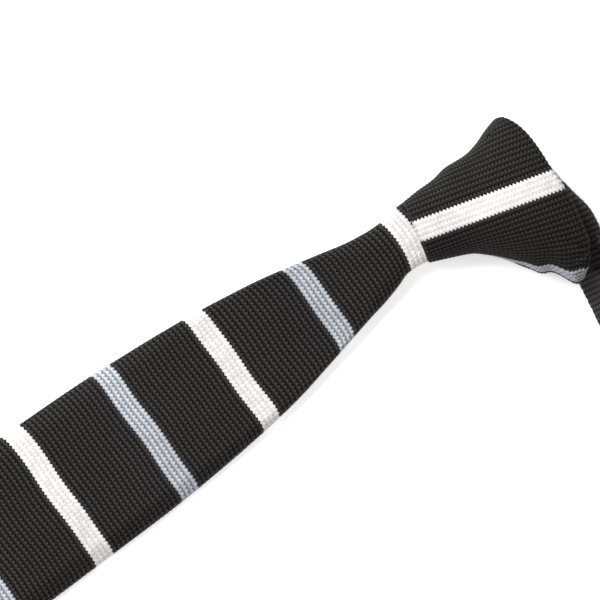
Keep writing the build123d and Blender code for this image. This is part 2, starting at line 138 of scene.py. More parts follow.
def spline(points, count_on):
    """A smooth line near the points (uniform cubic B-spline), without its last point. count_on says
    how many points a span gets."""
    p = np.vstack([2 * points[0] - points[1], points, 2 * points[-1] - points[-2]])
    out = []
    for i in range(1, len(p) - 2):
        count = count_on(p[i + 1] - p[i])
        t = (np.arange(count) / count)[:, None]
        out.append(((1 - t) ** 3 * p[i - 1] + (3 * t**3 - 6 * t**2 + 4) * p[i]
                    + (-3 * t**3 + 3 * t**2 + 3 * t + 1) * p[i + 1] + t**3 * p[i + 2]) / 6)
    return np.vstack(out)


def smooth_line(corners, spacing):
    """A smooth line near corners in plan, as closely spaced points."""
    held = np.vstack([corners[0], corners, corners[-1]])
    return spline(held, lambda span: max(int(np.hypot(*span) / spacing), 1))


def smooth_points(points, steps):
    """A smooth line near 3-D points, from the first to the last, with equal steps on each span."""
    p = np.asarray(points, float)
    return np.vstack([spline(p, lambda span: steps), p[-1][None]])


def triangle(v):
    """Triangle wave of period 1, from -0.5 at whole numbers to 0.5 between them."""
    return 0.5 - np.abs((v % 1.0) * 2 - 1)


def stitch_height(u, v, zigzag=ZIGZAG):
    """Height of the knit above its grooves, from 0 to 1: beads along each course."""
    course = np.abs(np.sin(np.pi * (u + zigzag * triangle(v)))) ** 0.8
    bead = np.abs(np.sin(np.pi * v)) ** 0.7
    return course * (0.5 + 0.5 * bead)


def knot_to_world(a, b, z):
    """Row frame position, in metres, of a point given along and across the knot's own axis."""
    a, b, z = np.broadcast_arrays(np.asarray(a, float), b, z)
    x = a * math.cos(KNOT_TURN) - b * math.sin(KNOT_TURN)
    y = a * math.sin(KNOT_TURN) + b * math.cos(KNOT_TURN)
    return np.stack([x, y, z], -1) * MM + EXIT


def blade_to_world(s, y, z):
    """Row frame position, in metres, of a point given by its distance from the knot's exit."""
    s, y, z = np.broadcast_arrays(np.asarray(s, float), y, z)
    return np.stack([-s, y, z], -1) * MM + EXIT


def unit(vectors):
    """Vectors along the last axis, scaled to length 1."""
    return vectors / np.maximum(np.linalg.norm(vectors, axis=-1, keepdims=True), 1e-12)


def normals_of(points):
    """Unit normals of a grid of points, rows by columns, from central differences."""
    return unit(np.cross(np.gradient(points, axis=0), np.gradient(points, axis=1)))


def put_in_scene(name, data):
    obj = bpy.data.objects.new(name, data)
    bpy.context.scene.collection.objects.link(obj)
    return obj


def make_object(name, verts, faces, uvs, material):
    """A smooth shaded mesh object, with a UV map of course and wale numbers where given."""
    mesh = bpy.data.meshes.new(name)
    mesh.from_pydata(verts.reshape(-1, 3), [], faces)
    if uvs is not None:
        layer = mesh.uv_layers.new(name="Knit")
        layer.data.foreach_set("uv", np.asarray(uvs, np.float32).ravel())
    mesh.polygons.foreach_set("use_smooth", np.ones(len(mesh.polygons), bool))
    mesh.materials.append(material)
    return put_in_scene(name, mesh)


def grid_object(name, points, u, v, material, wrap=False, cap=False, flip=False):
    """A grid of points, rows by columns, as a mesh. With wrap the columns join into a tube, and v
    then has one column more than points. cap closes the last row, front to back."""
    rows, cols = points.shape[:2]
    spans = cols if wrap else cols - 1
    r, c = np.meshgrid(np.arange(rows - 1), np.arange(spans), indexing="ij")
    c_next = (c + 1) % cols
    quads = np.stack([r * cols + c, r * cols + c_next, (r + 1) * cols + c_next, (r + 1) * cols + c], -1)
    at_u = np.stack([u[r, c], u[r, c + 1], u[r + 1, c + 1], u[r + 1, c]], -1)
    at_v = np.stack([v[r, c], v[r, c + 1], v[r + 1, c + 1], v[r + 1, c]], -1)
    uvs = np.stack([at_u, at_v], -1).reshape(-1, 4, 2)
    quads = quads.reshape(-1, 4)
    if flip:
        quads, uvs = quads[:, ::-1], uvs[:, ::-1]
    faces, uvs = quads.tolist(), uvs.reshape(-1, 2).tolist()
    if cap:
        base = (rows - 1) * cols
        for j in range(1, cols // 2 + 1):
            column_of = {j - 1: j - 1, j: j, (cols - j) % cols: j, (cols - j + 1) % cols: j - 1}
            faces.append([base + corner for corner in column_of])
            uvs.extend([u[-1, column], v[-1, column]] for column in column_of.values())
    return make_object(name, points, faces, uvs, material)


def declare(nodes):
    """Hides the CAD nodes that a piece stands for."""
    if nodes:
        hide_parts(*nodes)


# ---- materials ----
class Nodes:
    """Short way to write a node tree."""

    def __init__(self, name):
        self.material = bpy.data.materials.new(name)
        self.material.use_nodes = True
        self.tree = self.material.node_tree
        self.shader = self.tree.nodes["Principled BSDF"]

    def add(self, kind, **settings):
        node = self.tree.nodes.new(kind)
        for key, value in settings.items():
            setattr(node, key, value)
        return node

    def link(self, value, socket):
        if isinstance(value, bpy.types.NodeSocket):
            self.tree.links.new(value, socket)
        else:
            socket.default_value = value

    def feed(self, name, value):
        self.link(value, self.shader.inputs[name])

    def math(self, operation, *values):
        node = self.add("ShaderNodeMath", operation=operation)
        for value, socket in zip(values, node.inputs):
            self.link(value, socket)
        return node.outputs[0]

    def add_up(self, *values):
        return self.math("ADD", *values)

    def times(self, *values):
        return self.math("MULTIPLY", *values)

    def power(self, *values):
        return self.math("POWER", *values)

    def mix(self, factor, first, second, blend="MIX"):
        node = self.add("ShaderNodeMix", data_type="RGBA", blend_type=blend)
        self.link(factor, node.inputs[0])
        self.link(first, node.inputs[6])
        self.link(second, node.inputs[7])
        return node.outputs[2]

    def waves(self, direction, scale, distortion, vector):
        node = self.add("ShaderNodeTexWave", wave_type="BANDS", bands_direction=direction)
        node.inputs["Scale"].default_value = scale
        node.inputs["Distortion"].default_value = distortion
        self.link(vector, node.inputs["Vector"])
        return node.outputs["Fac"]

    def noise(self, scale, detail, vector):
        node = self.add("ShaderNodeTexNoise")
        node.inputs["Scale"].default_value = scale
        node.inputs["Detail"].default_value = detail
        self.link(vector, node.inputs["Vector"])
        return node.outputs["Fac"]

    def object_coordinates(self):
        return self.add("ShaderNodeTexCoord").outputs["Object"]

    def bump(self, height, distance, strength=1.0, normal=None):
        node = self.add("ShaderNodeBump")
        node.inputs["Strength"].default_value = strength
        node.inputs["Distance"].default_value = distance
        self.link(height, node.inputs["Height"])
        if normal is not None:
            self.link(normal, node.inputs["Normal"])
        return node.outputs["Normal"]


def colour(red, green, blue):
    return (red, green, blue, 1.0)


# the groove colours below are painted shade, for the grooves between stitches
BLACK_YARN = colour(0.0250, 0.0205, 0.0205)
BLACK_GROOVE_PAINTED_SHADE = colour(0.0020, 0.0015, 0.0016)
WHITE_YARN = colour(0.88, 0.83, 0.815)
WHITE_GROOVE_PAINTED_SHADE = colour(0.56, 0.52, 0.51)
BLUE_YARN = colour(0.60, 0.625, 0.665)
BLUE_GROOVE_PAINTED_SHADE = colour(0.07, 0.08, 0.10)


def knit_material(name, zigzag, shine):
    """Striped knit: the UV map gives the course and wale, and so the stripe, the yarn, and the painted
    shade in the grooves between stitches.
    """
    n = Nodes(name)
    uv = n.add("ShaderNodeUVMap", uv_map="Knit").outputs["UV"]
    split = n.add("ShaderNodeSeparateXYZ")
    n.link(uv, split.inputs[0])
    u, v = split.outputs[0], split.outputs[1]
    ramp = n.math("SUBTRACT", n.times(n.math("FRACT", v), 2.0), 1.0)
    wave = n.math("SUBTRACT", 0.5, n.math("ABSOLUTE", ramp))
    course = n.add_up(u, n.times(wave, zigzag))
    place = n.math("FLOORED_MODULO", course, float(PERIOD))
    white = n.math("LESS_THAN", place, 4.0)
    blue = n.times(n.math("GREATER_THAN", place, 20.0), n.math("LESS_THAN", place, 24.0))
    ridge = n.math("ABSOLUTE", n.math("SINE", n.times(course, math.pi)))
    bead = n.math("ABSOLUTE", n.math("SINE", n.times(v, math.pi)))
    top = n.times(n.power(ridge, 0.65), n.add_up(0.62, n.times(n.power(bead, 0.8), 0.38)))
    # painted shade: each stripe goes from its yarn colour on the stitch tops to a much darker groove
    # colour in the grooves
    black_knit = n.mix(n.power(top, 1.6), BLACK_GROOVE_PAINTED_SHADE, BLACK_YARN)
    white_knit = n.mix(top, WHITE_GROOVE_PAINTED_SHADE, WHITE_YARN)
    blue_knit = n.mix(n.power(top, 1.3), BLUE_GROOVE_PAINTED_SHADE, BLUE_YARN)
    striped = n.mix(blue, n.mix(white, black_knit, white_knit), blue_knit)
    # each stitch has its own random tone; larger patches are painted lighter and darker, as painted
    # sheen and shade
    cell = n.add("ShaderNodeCombineXYZ")
    n.link(n.math("FLOOR", course), cell.inputs[0])
    n.link(n.math("FLOOR", v), cell.inputs[1])
    speck = n.add("ShaderNodeTexWhiteNoise", noise_dimensions="2D")
    n.link(cell.outputs[0], speck.inputs["Vector"])
    place_in_space = n.object_coordinates()
    painted_sheen_patches = n.noise(38.0, 2.0, place_in_space)
    shade = n.add_up(n.times(speck.outputs["Value"], 0.16), n.add_up(0.62, n.times(painted_sheen_patches, 0.58)))
    shade_colour = n.add("ShaderNodeCombineColor")
    for socket in shade_colour.inputs:
        n.link(shade, socket)
    n.feed("Base Color", n.mix(1.0, striped, shade_colour.outputs[0], "MULTIPLY"))
    # yarn: slanted plies over each stitch, and loose fibre
    ply = n.math("SINE", n.times(n.add_up(n.times(v, 3.0), n.times(course, 2.0)), 2 * math.pi))
    fibre = n.noise(5200.0, 3.0, place_in_space)
    plies = n.bump(ply, 0.00007, 0.6)
    n.feed("Normal", n.bump(fibre, 0.00012, 0.55, plies))
    n.feed("Roughness", n.add_up(0.45, n.times(fibre, 0.3)))
    n.feed("Specular IOR Level", n.add_up(0.02, n.times(n.power(top, 3.0), shine)))
    n.feed("Sheen Weight", 0.03)
    n.feed("Sheen Roughness", 0.45)
    return n.material


def thread_material(name, tone):
    """Twisted sewing thread, with painted shade in the hollows of its twist."""
    n = Nodes(name)
    where = n.object_coordinates()
    twist = n.waves("DIAGONAL", 900.0, 1.5, where)
    # painted shade: half the thread's colour, in the hollows of the twist
    painted_twist_shade = tuple(x * 0.5 for x in tone[:3]) + (1.0,)
    n.feed("Base Color", n.mix(twist, painted_twist_shade, tone))
    n.feed("Normal", n.bump(twist, 0.00006, 0.8))
    n.feed("Roughness", n.add_up(0.45, n.times(n.noise(3000.0, 2.0, where), 0.25)))
    n.feed("Sheen Weight", 0.3)
    return n.material


def ribbon_material(name, tone, shade):
    """Fine ribbed ribbon: ribs across it, with crossing yarns; its second colour is painted shade in the
    hollows between them.
    """
    n = Nodes(name)
    where = n.object_coordinates()
    ribs, yarns = n.waves("X", 420.0, 0.4, where), n.waves("Y", 640.0, 0.4, where)
    weave = n.add_up(n.times(ribs, 0.7), n.times(yarns, 0.3))
    # painted shade: the second colour fills the hollows of the weave
    n.feed("Base Color", n.mix(weave, shade, tone))
    n.feed("Normal", n.bump(weave, 0.00008, 0.9))
    n.feed("Roughness", n.add_up(0.4, n.times(n.noise(2500.0, 2.0, where), 0.3)))
    n.feed("Sheen Weight", 0.2)
    return n.material


KNIT = knit_material("striped_knit", ZIGZAG, 0.42)
KNIT_ON_KNOT = knit_material("striped_knit_on_knot", KNOT_ZIGZAG, 0.30)
THREAD = thread_material("black_thread", colour(0.03, 0.028, 0.03))
PALE_THREAD = thread_material("pale_thread", colour(0.62, 0.62, 0.6))
# the second colour of each ribbon is painted shade for the hollows of its weave
RIBBON = ribbon_material("black_ribbon", colour(0.02, 0.02, 0.022), colour(0.008, 0.008, 0.009))
LABEL = ribbon_material("pale_label", colour(0.78, 0.77, 0.74), colour(0.55, 0.54, 0.52))


# ---- flat knitted tubes: the blades ----
def half_arc(half, thick, arc):
    """Sideways and upward place on half of a flat tube's section, at an arc length that starts in
    the middle of the front and ends in the middle of the back."""
    flat, r = half - thick / 2, thick / 2
    bend = np.pi * r
    turn = np.clip((arc - flat) / r, 0, np.pi)
    across = np.where(arc < flat, arc, flat + r * np.sin(turn)) - np.clip(arc - flat - bend, 0, None)
    up = r * np.cos(turn)
    return across, up


def tube_columns(wales, front_wales):
    """Wale numbers of a tube's columns, from the back's middle round the front and back again:
    three to a wale over the front, two over the back."""
    front = np.arange(0, front_wales * 3) / 3.0
    back = np.arange(0, (wales - front_wales) * 2 + 1) / 2.0 + front_wales
    half = np.concatenate([front, back])
    return np.concatenate([-half[:0:-1], half])


def flat_tube(half, thick, columns, wales):
    """Section of a flat tube at each row: (rows, columns) of sideways and upward places, and the
    share of its full width that each wale keeps. half and thick hold one value for each row."""
    half, thick = half[:, None], thick[:, None]
    v = np.abs(columns)[None, :]
    front_arc = half - thick / 2 + np.pi * thick / 4
    whole_arc = 2 * front_arc
    front_wales = np.minimum(front_arc / WALE, wales - 1.0)
    pitch_behind = (whole_arc - front_arc) / (wales - front_wales)
    arc = np.where(v <= front_wales, v * WALE * (front_arc / (front_wales * WALE)),
                   front_arc + (v - front_wales) * pitch_behind)
    across, up = half_arc(half, thick, arc)
    share = np.where(v <= front_wales, 1.0, np.clip(pitch_behind / WALE, 0, 1))
    share = share * (1 - 0.55 * np.exp(-(((v - front_wales) / 1.5) ** 2)))
    up = up + np.where(up < 0, SEAM_DEPTH * np.exp(-((across / SEAM_HALF) ** 2)), 0)
    return across * np.sign(columns)[None, :], up, share


def course_rows(first, last):
    """Course numbers of a strip's rows, a few to each course."""
    start, stop = round(first * ROWS_PER_COURSE), round(last * ROWS_PER_COURSE)
    return np.arange(start, stop + 1) / ROWS_PER_COURSE


def knit_tube(name, place, section, courses, columns, wales, end_at=None):
    """A flat knitted tube. place(rows, across, up) gives the row frame positions of a section at
    each row, section(courses) its half width and thickness. end_at rounds and closes the last
    rows there, over a hem folded to the back."""
    u = courses
    half, thick = section(u)
    hem = np.zeros(len(u))
    if end_at is not None:
        closing = np.clip((u - (end_at - thick * 0.5 / COURSE)) / (thick * 0.5 / COURSE), 0, 0.985)
        thick = thick * np.sqrt(1 - closing**2)
        half = half - (1 - np.sqrt(1 - closing**2)) * 0.8
        hem = HEM_STEP * smooth((u - end_at) * COURSE / 1.0 + HEM_DEPTH + 0.5) * np.sqrt(1 - closing**2)
    across, up, share = flat_tube(half, thick, columns, wales)
    up = up - np.where(up < 0, hem[:, None], 0)
    points = place(u, across, up)
    outward = -normals_of(points)
    sunk = (stitch_height(u[:, None], columns[None, :]) - 1) * share * RELIEF * MM
    points = points + outward * sunk[..., None]
    points = points[:, :-1]
    v = np.repeat(columns[None, :], len(u), 0)
    uu = np.repeat(u[:, None], len(columns), 1)
    return grid_object(name, points, uu, v, KNIT, wrap=True, cap=end_at is not None)


WHITE_AT_EXIT = 2.85           # middle of the white stripe nearest the knot, from the exit
SQUEEZED_UNTIL = 8.0           # from here on the blades open from the knot's grip
OPENS_OVER, OPENING_POWER = 56.0, 1.35
BLADE_WALES, BLADE_FRONT = 39, 20
TAIL_WALES, TAIL_FRONT = 29, 15
BLADE_THICK, TAIL_THICK = 2.6, 2.4
BLADE_GRIPPED, TAIL_GRIPPED = 9.3, 6.5     # half widths in the knot's grip
TAIL_LOW = 0.95                # height of the tail's underside where it lies flat
INSIDE_KNOT = -7.0             # both tubes start inside the knot
BLADE_SPLIT = 215.0            # the near piece of the blade ends here, just short of the fold
GATHER_STOP = 30.0             # the tail's gathered piece ends here, and its throat starts
HEM_DEPTH, HEM_STEP = 10.0, 0.3
TAIL_TRAVEL = 42.0             # the tail slides this far towards the knot, under the blade
AIR = 0.35                     # gap under a blade's side where it comes down to the surface


def course_at(s):
    """Course number at a distance from the exit."""
    return (s - WHITE_AT_EXIT) / COURSE + 2


def distance_at(u):
    """Distance from the exit of a course number."""
    return (u - 2) * COURSE + WHITE_AT_EXIT


def opening(s, full, squeezed):
    """Half width of a blade at a distance from the exit."""
    opened = np.clip(s - SQUEEZED_UNTIL, 0, None) / OPENS_OVER
    return full - (full - squeezed) * np.exp(-opened**OPENING_POWER)


def blade_section(u):
    """Half width and thickness of the blade at each course, wider and thicker as it leaves the knot."""
    s = distance_at(u)
    collar = 0.017 * np.clip(SQUEEZED_UNTIL - s, 0, SQUEEZED_UNTIL) ** 2
    swell = 0.4 * np.exp(-(((s - 14.0) / 12.0) ** 2))
    fullness = 0.32 * smooth((s - SQUEEZED_UNTIL) / 6.0) * (1 - smooth((s - 105.0) / 35.0))
    half = opening(s, BLADE_HALF + 0.1, BLADE_GRIPPED) + collar + swell + fullness
    ripple = 0.12 * np.sin(s / 23.0) + 0.08 * np.sin(s / 9.7 + 1.0)
    thick = BLADE_THICK + 4.4 * np.exp(-(np.clip(s, 0, None) / 18.0) ** 1.3)
    return half + ripple * smooth((s - 20) / 40), thick


def blade_height(s, across):
    """Height of the blade's middle layer: over the tail, falling to the surface at both sides."""
    top = 6.3 + 7.2 * np.exp(-(np.clip(s, 0, None) / 24.0) ** 1.2)
    half, thick = blade_section(course_at(s))
    middle = top - thick / 2
    past_tail = smooth((s - TAIL_STOP - 33.0) / 24.0)
    middle = middle - past_tail * (middle - BLADE_THICK / 2 - AIR)
    tail_reach = opening(s + TAIL_TRAVEL, TAIL_HALF, TAIL_GRIPPED) * smooth(s / 45.0)
    inner = np.minimum(tail_reach + 0.4, half - 1.5)
    fall = np.clip((np.abs(across) - inner) / np.maximum(half - inner, 1e-3), 0, 1) ** 1.6
    room = np.clip((half - inner) / 6.0, 0, 1)
    depth = (middle - thick / 2 - AIR) * smooth(s / 60.0) * 0.92 * room
    depth = depth + 1.6 * (1 - smooth(s / 40.0))
    swell = 0.16 * np.sin(s / 17.0) * np.sin(across / 11.0 + 0.6)
    swell = swell + 0.1 * np.sin(s / 7.3 + across / 9.0)
    return middle - fall * depth + swell * smooth((s - 25) / 40)


BLADE_SWAY = curve_through([(0, 0.3), (8, 0.1), (12, -0.5), (20, -0.95), (28, -0.75), (48, -0.65),
                            (64, -0.95), (100, -0.98), (136, -0.8), (170, -0.7), (230, 0.0)])


def course_bend(s, across, half):
    """How far a course bends away from the knot: bowed where the blade leaves the knot, hooked at
    both edges, and a little wavy."""
    bow = 0.014 * (across - 2.0) ** 2 * np.exp(-((np.clip(s, 0, None) / 20.0) ** 2))
    hook = np.exp(-(half - across) / 1.7) + np.exp(-(half + across) / 1.7)
    wave = 0.17 * np.sin(across / 3.9 + s / 21.0) + 0.12 * np.sin(across / 7.1 - s / 13.0 + 1.0)
    loose = 0.42 * np.exp(-(((s - 75.0) / 15.0) ** 2))
    free = smooth((BLADE_STOP - 10.0 - s) / 25.0)
    return (bow + (hook + wave) * smooth((s - 4.0) / 12.0) + loose) * free


def place_blade(u, across, up):
    """Row frame positions of the blade's sections."""
    s = distance_at(u)[:, None]
    half = blade_section(u)[0][:, None]
    return blade_to_world(s + course_bend(s, across, half), across + BLADE_SWAY(s),
                          blade_height(s, across) + up)


def tail_section(u):
    """Half width and thickness of the tail at each course."""
    s = distance_at(u)
    half = opening(s, TAIL_HALF - 0.2, TAIL_GRIPPED)
    return half, TAIL_THICK + 0.8 * np.exp(-(np.clip(s, 0, None) / 20.0) ** 2)


def tail_underside(s, across):
    """Height of the tail's underside: raised where it comes out of the knot, and a little wavy."""
    rise = 2.0 * (1 - smooth(s / 36.0))
    wave = 0.06 * np.sin(s / 19.0 + across / 12.0) * smooth((s - 40) / 40)
    return TAIL_LOW + rise + wave


def place_tail(u, across, up):
    """Row frame positions of the tail's sections."""
    s = distance_at(u)[:, None]
    return blade_to_world(s, across, tail_underside(s, across) + TAIL_THICK / 2 + up)


def blades():
    def tube(name, shape, first, last, end_at=None):
        place, section, wales, front = shape
        return knit_tube(name, place, section, course_rows(first, last), tube_columns(wales, front),
                         wales, end_at=end_at)

    blade = (place_blade, blade_section, BLADE_WALES, BLADE_FRONT)
    tail_shape = (place_tail, tail_section, TAIL_WALES, TAIL_FRONT)
    start = course_at(INSIDE_KNOT)
    split, stop = round(course_at(BLADE_SPLIT)), course_at(BLADE_STOP)
    tail_split, tail_start = round(course_at(GATHER_STOP)), round(course_at(THROAT_STOP))
    tail_stop = course_at(TAIL_STOP)
    near = tube("front_blade_knit", blade, start, split)
    end = tube("blade_end_knit", blade, split, stop, end_at=stop + 0.01)
    gather = tube("tail_gather_knit", tail_shape, start, tail_split)
    throat = tube("tail_throat_knit", tail_shape, tail_split, tail_start)
    tail = tube("tail_knit", tail_shape, tail_start, tail_stop, end_at=tail_stop + 0.01)
    for piece in (near, gather):
        blade_to_world(3, 0, 0)
        blade_to_world(27, 0, 0)
        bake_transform(piece)
    blade_to_world(FOLD - 3, 0, 0)
    blade_to_world(FOLD + 7, 0, 0)
    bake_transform(end)
    blade_to_world(31, 0, 0)
    blade_to_world(THROAT_STOP - 1, 0, 0)
    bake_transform(throat)
    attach(tail, "tail")
    declare(("front_blade_cover", "front_blade_lining"))
    declare(("blade_end_cover", "blade_end_lining", "blade_end_hem"))
    declare(("tail_pass",))
    declare(("tail_throat",))
    declare(("tail_cover", "tail_lining", "tail_hem"))


# ---- knot ----
LEFT_SIDE = curve_through([(-3, 10.2), (0, 10.7), (6, 12.4), (12, 13.7), (18, 16.0), (25, 17.0),
                           (30, 19.0), (35, 22.2), (39, 24.2), (42, 25.1), (56, 25.6)])
RIGHT_SIDE = curve_through([(-3, -10.3), (0, -10.6), (9, -12.1), (15, -13.4), (19, -15.5), (23, -18.3),
                            (27, -21.8), (31, -25.6), (35, -28.9), (38, -31.2), (41, -33.2),
                            (43.5, -36.2), (47, -37.0), (56, -37.5)])
TOP = curve_through([(-3, 16.2), (0, 17.0), (12, 20.2), (25, 24.0), (38, 27.0), (47, 28.2), (56, 27.8)])
STRIPE_HIGH = curve_through([(0, 3.85), (51, 1.45)])
STRIPE_LOW = curve_through([(0, -3.45), (51, -5.85)])
BLUE_ARC = curve_through([(0, 15.0), (10, 15.2), (15, 15.4), (20, 16.2), (30, 20.4), (40, 25.4),
                          (45, 28.0), (48, 29.5)])
TOP_EDGE = curve_through([(-34, 35.0), (-22, 37.0), (-16, 38.9), (-13, 41.5), (-10.5, 43.8),
                          (-8.0, 45.5), (-5, 46.9), (-0.5, 48.3), (4.5, 50.1), (9, 50.8), (14, 50.8),
                          (17, 49.4), (20, 47.4), (24, 44.8), (34, 42.0)])
KNOT_WALES = 36
ROLL = 1.25                    # radius of the band's folded edges
KNOT_COURSE = 1.85


def knot_section(a, inset=0.0, samples=240):
    """One section of the knot across its axis: its points from low on the left, over the top, to
    low on the right, and the arc length from the stripe's two edges."""
    left, right, top = LEFT_SIDE(a) - inset, RIGHT_SIDE(a) + inset, TOP(a) - inset
    middle, half = (left + right) / 2, (left - right) / 2
    angle = np.linspace(math.radians(-62), math.radians(242), samples)
    c, s = np.cos(angle), np.sin(angle)
    power = 2 / 2.35
    b = middle + half * np.sign(c) * np.abs(c) ** power
    low = 0.35 + inset
    z = low + (top - low) * (0.5 + 0.5 * np.sign(s) * np.abs(s) ** power)
    arc = np.concatenate([[0], np.cumsum(np.hypot(np.diff(b), np.diff(z)))])
    upper = s > 0
    order = np.argsort(b[upper])
    high = np.interp(STRIPE_HIGH(a), b[upper][order], arc[upper][order])
    low_arc = np.interp(STRIPE_LOW(a), b[upper][order], arc[upper][order])
    return b, z, arc, high, low_arc


def knot_surface(u, a, inset=0.0):
    """Places and outward directions, across the knot's axis, of the outer wrap: for course numbers
    u (columns) at each a (rows, one for each grid point)."""
    stations = np.linspace(-3.0, 56.0, 60)
    table = np.empty((4, len(stations), len(u)))
    for i, station in enumerate(stations):
        b, z, arc, high, low = knot_section(station, inset)
        reach = BLUE_ARC(station)
        share = np.linspace(0, 2.4, 200)
        slope = min(reach / (16 * KNOT_COURSE), 1.0)
        courses = 16 * np.where(share < 1, slope * share + (1 - slope) * share**2.5,
                                1 + (slope + 2.5 * (1 - slope)) * (share - 1))
        right = np.interp(u - 4, courses, share * reach)
        at = np.where(u <= 0, high + u * KNOT_COURSE, np.where(
            u < 4, high + (low - high) * u / 4, low + right))
        soft = 8.0
        at = np.where(at < soft, soft * np.exp((np.minimum(at, soft) - soft) / soft), at)
        room = arc[-1] - soft
        at = np.where(at > room, arc[-1] - soft * np.exp((room - np.maximum(at, room)) / soft), at)
        nb, nz = -np.gradient(z, arc), np.gradient(b, arc)
        for row, values in zip(table, (b, z, -nb, -nz)):
            row[i] = np.interp(at, arc, values)
    out = np.empty((4,) + a.shape)
    for values, found in zip(table, out):
        padded = np.pad(values, ((1, 1), (0, 0)), mode="edge")
        values = padded[:-2] * 0.25 + padded[1:-1] * 0.5 + padded[2:] * 0.25
        for j in range(a.shape[1]):
            found[:, j] = np.interp(a[:, j], stations, values[:, j])
    return out


def knot_cloth(name, points, outward, u, v, relief, flip=False):
    """A knitted piece of the knot, with its stitches raised on a grid of points in the knot's frame."""
    uu, vv = np.meshgrid(u, v)
    points = points + outward * (stitch_height(uu, vv, KNOT_ZIGZAG) * relief)[..., None]
    return grid_object(name, knot_to_world(*np.moveaxis(points, -1, 0)), uu, vv, KNIT_ON_KNOT,
                       flip=flip)


GATHER = (51.0, -28.5)         # where the band's folds run together beside the right leg


def band_object(name, u, v, bottom_edge, top_edge, inset=0.0, ripple=1.0):
    """A knitted band wrapped round the knot. v counts wales from the exit, and runs past both
    edges, where the band folds under with a round edge."""
    courses = u[None, :]
    bottom = bottom_edge(courses)
    length = top_edge(courses) - bottom
    rows = v[:, None] / KNOT_WALES * length
    below, above = np.clip(-rows, 0, None), np.clip(rows - length, 0, None)
    a = bottom + np.clip(rows, 0, length)
    b, z, nb, nz = knot_surface(u, a, inset)
    b_next, z_next, _, _ = knot_surface(u, a + 0.5, inset)
    slope = ((b_next - b) * nb + (z_next - z) * nz) / 0.5
    size = np.sqrt(nb**2 + nz**2 + slope**2)
    outward = np.stack([-slope / size, nb / size, nz / size], -1)
    side = smooth((courses - 14) / 8) * smooth((a - 27) / 8)
    b = b - ripple * 0.9 * side * np.sin((a - 30.5) / 9.2 * 2 * np.pi)
    near = np.hypot(a - GATHER[0], b - GATHER[1])
    angle = np.arctan2(b - GATHER[1], -(a - GATHER[0]))
    z = z - ripple * 1.3 * np.exp(-((near / 7.5) ** 2)) * (0.55 + 0.45 * np.cos(angle * 7))
    points = np.stack([a, b, z], -1)
    axis = np.array([1.0, 0.0, 0.0])
    facing = outward
    for past, way in ((above, 1.0), (below, -1.0)):
        turn = np.clip(past / ROLL, 0, np.pi)
        back = np.clip(past - ROLL * np.pi, 0, None)
        points = points + axis * way * (np.sin(turn) * ROLL - back)[..., None]
        points = points - outward * ((1 - np.cos(turn)) * ROLL)[..., None]
        bent = (past > 0)[..., None]
        turned = outward * np.cos(turn)[..., None] + axis * way * np.sin(turn)[..., None]
        facing = np.where(bent, turned, facing)
    return knot_cloth(name, points, facing, u, v, 0.45)


def fine(first, last, per):
    """Evenly spaced counts from first to last, with per steps to each."""
    return np.arange(round(first * per), round(last * per) + 1) / per


BOTTOM_EDGE = curve_through([(-20, 2.2), (-7, 1.9), (-3.5, 1.6), (-1, 1.9), (8, 2.2), (14, 1.7),
                             (30, 1.5)])
INNER_BOTTOM = curve_through([(-20, 0.2), (30, 0.6)])
INNER_TOP = curve_through([(-20, 7.0), (30, 9.0)])
CROSS_TOP = curve_through([(-20, 34.0), (-12, 38.5), (0, 42.0), (14, 43.0), (24, 38.0), (34, 34.0)])
BACK_EDGE = curve_through([(0, 31.0), (0.15, 38.0), (0.5, 44.5), (0.85, 41.0), (1, 35.0)])
HUMP = curve_through([(-34, 53.0), (-31, 55.4), (-27, 56.8), (-23, 57.2), (-18, 56.6), (-15, 56.2),
                      (-11, 55.1), (-6, 53.2), (-3, 51.8), (2, 49.8), (10, 47.6), (16, 45.0),
                      (21, 41.5), (24, 38.0)])
HUMP_TOP_SIDE, HUMP_LOW_SIDE = 22.5, -33.0
HUMP_REACH = 8.5


def knot_pieces():
    """The wraps of the knot, from the front band inwards, then the back band and the over pass."""
    front = band_object("knot_front_knit", fine(-20, 34, 4), fine(-4, KNOT_WALES + 5, 4),
                        BOTTOM_EDGE, TOP_EDGE)
    inner = band_object("knot_inner_knit", fine(-12, 24, 4), fine(0, 12, 4),
                        INNER_BOTTOM, INNER_TOP, inset=1.3, ripple=0)
    cross = band_object("knot_cross_knit", fine(-16, 30, 2), fine(8, KNOT_WALES, 2),
                        BOTTOM_EDGE, CROSS_TOP, inset=3.2, ripple=0)
    back, over = back_band(), over_pass()
    for piece in (front, inner, cross, back, over):
        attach(piece, "knot")
    declare(("knot_front_band",))
    declare(())
    declare(("knot_first_cross",))
    declare(("knot_back_band",))
    declare(("knot_over_pass",))


def back_band():
    """The wrap behind the knot: the flat underside, from side to side."""
    u = fine(0, 34, 4)
    v = fine(0, 33, 3)
    share = (u / 34)[None, :]
    a = 2.0 + (v / 33)[:, None] * (BACK_EDGE(share) - 2.0)
    peep = 3.0 * smooth((a - 20) / 8) * (1 - smooth((a - 42) / 5))
    left, right = LEFT_SIDE(a) - 2.4, RIGHT_SIDE(a) + 2.4 - peep
    b = left + (right - left) * share
    rise = (np.abs(share * 2 - 1) ** 5) * 4.0
    z = 0.75 + rise + 0.25 * np.sin(a / 6.0) * np.sin(share * 9.0)
    points = np.stack([a, b, z], -1)
    outward = normals_of(points)
    outward = outward * -np.sign(np.median(outward[..., 2]))
    return knot_cloth("knot_back_knit", points, outward, u + 36, v, 0.35, flip=True)


